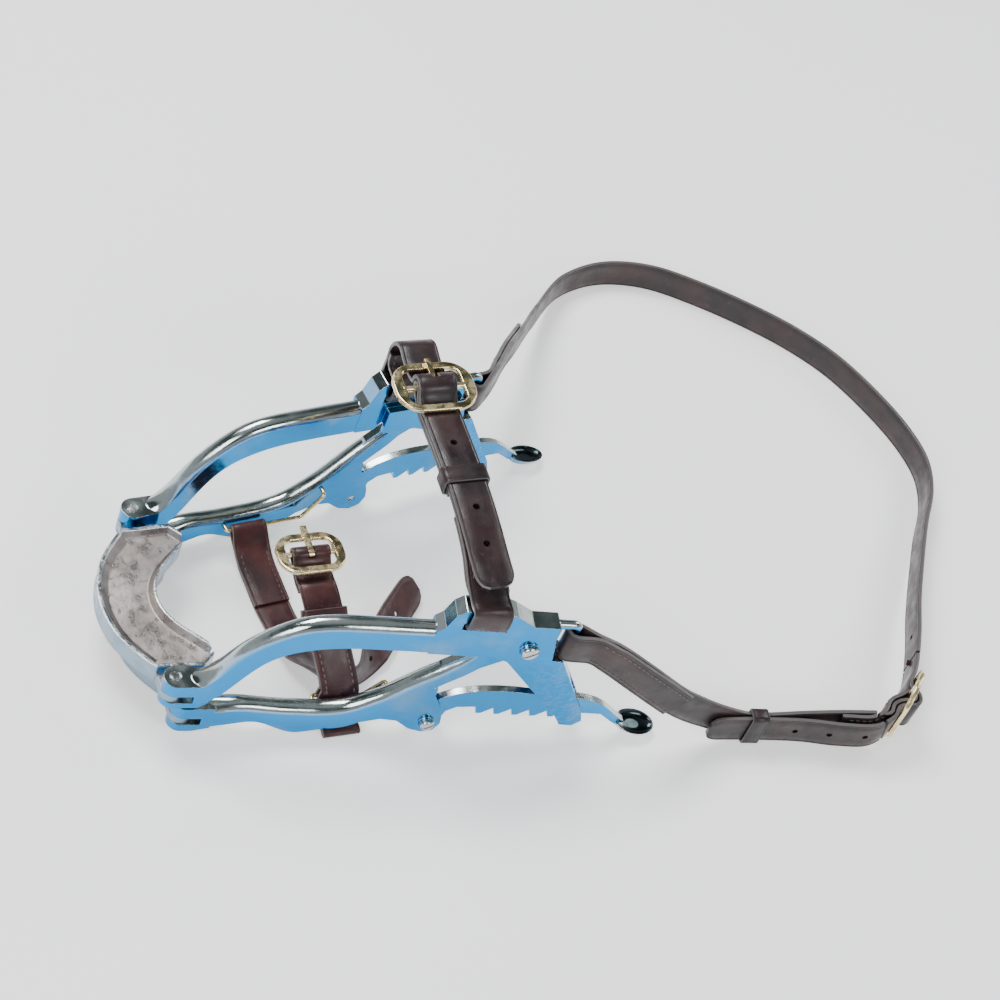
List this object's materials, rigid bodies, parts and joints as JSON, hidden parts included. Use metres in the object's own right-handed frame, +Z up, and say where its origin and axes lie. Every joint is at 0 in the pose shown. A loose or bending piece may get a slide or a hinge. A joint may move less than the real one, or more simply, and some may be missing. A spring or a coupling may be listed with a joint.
{
  "type": "hinged ratchet mouth gag",
  "caption": "Hinged ratchet mouth gag for a horse: horseshoe bite plates on plated arms, thumb levers with saw teeth, and leather nose, poll and chin straps with brass buckles.",
  "frame": {"origin": "centre of the bounding box in plan, on the table", "axes": "+X runs back from the bite plates, +Y to the gag's right-hand side, +Z up"},
  "size_m": [0.6591, 0.4574, 0.1799],
  "materials": {
    "plated_arms": "polished, edges bright, flanks satin",
    "pins_and_screws": "polished",
    "ratchet_levers": "polished",
    "bite_plates": "nickel-plated rough casting",
    "brass_wire": "polished",
    "brass_buckles": "polished",
    "leather": "oiled bridle leather"
  },
  "bodies": {
    "upper_frame": {"left_upper_arm": "plated_arms", "left_upper_plate_pin": "pins_and_screws", "left_pivot_screw": "pins_and_screws", "right_upper_arm": "plated_arms", "right_upper_plate_pin": "pins_and_screws", "right_pivot_screw": "pins_and_screws", "upper_bite_plate": "bite_plates", "nose_billet_strap": "leather", "nose_buckle_strap": "leather", "nose_buckle_frame": "brass_buckles", "nose_strap_keeper": "leather", "poll_billet_strap": "leather", "poll_buckle_strap": "leather", "poll_buckle_frame": "brass_buckles", "poll_strap_keeper": "leather"},
    "lower_frame": {"left_lower_arm": "plated_arms", "left_lower_plate_pin": "pins_and_screws", "left_ratchet_screw": "pins_and_screws", "left_chin_wire_loop": "brass_wire", "right_lower_arm": "plated_arms", "right_lower_plate_pin": "pins_and_screws", "right_ratchet_screw": "pins_and_screws", "right_chin_wire_loop": "brass_wire", "lower_bite_plate": "bite_plates", "chin_billet_strap": "leather", "chin_buckle_strap": "leather", "chin_buckle_frame": "brass_buckles", "chin_strap_keeper": "leather"},
    "left_lever": {"left_ratchet_lever": "ratchet_levers"},
    "right_lever": {"right_ratchet_lever": "ratchet_levers"},
    "nose_prong": {"nose_buckle_prong": "brass_buckles"},
    "poll_prong": {"poll_buckle_prong": "brass_buckles"},
    "chin_prong": {"chin_buckle_prong": "brass_buckles"}
  },
  "joints": [
    {"name": "jaw_open", "type": "hinge", "parent": "upper_frame", "child": "lower_frame", "pos_m": [-0.08465, -0.0673, 0.09688], "axis": [0, -1, 0], "range_deg": [0, 22]},
    {"name": "left_lever_follow", "type": "hinge", "parent": "lower_frame", "child": "left_lever", "pos_m": [-0.13283, -0.16041, 0.01604], "axis": [0, -1, 0], "range_deg": [-11, 0]},
    {"name": "right_lever_follow", "type": "hinge", "parent": "lower_frame", "child": "right_lever", "pos_m": [-0.13283, 0.02581, 0.01604], "axis": [0, -1, 0], "range_deg": [-11, 0]},
    {"name": "nose_prong_lift", "type": "hinge", "parent": "upper_frame", "child": "nose_prong", "pos_m": [-0.1173, -0.0173, 0.171], "axis": [1, 0, 0], "range_deg": [0, 12]},
    {"name": "poll_prong_lift", "type": "hinge", "parent": "upper_frame", "child": "poll_prong", "pos_m": [0.2037, -0.2123, 0.0276], "axis": [0, 0, -1], "range_deg": [0, 12]},
    {"name": "chin_prong_lift", "type": "hinge", "parent": "lower_frame", "child": "chin_prong", "pos_m": [-0.1953, -0.0673, 0.076], "axis": [1, 0, 0], "range_deg": [0, 90]}
  ],
  "couplings": [
    {"joint": "left_lever_follow", "follows": "jaw_open", "ratio": -0.5},
    {"joint": "right_lever_follow", "follows": "jaw_open", "ratio": -0.5}
  ]
}
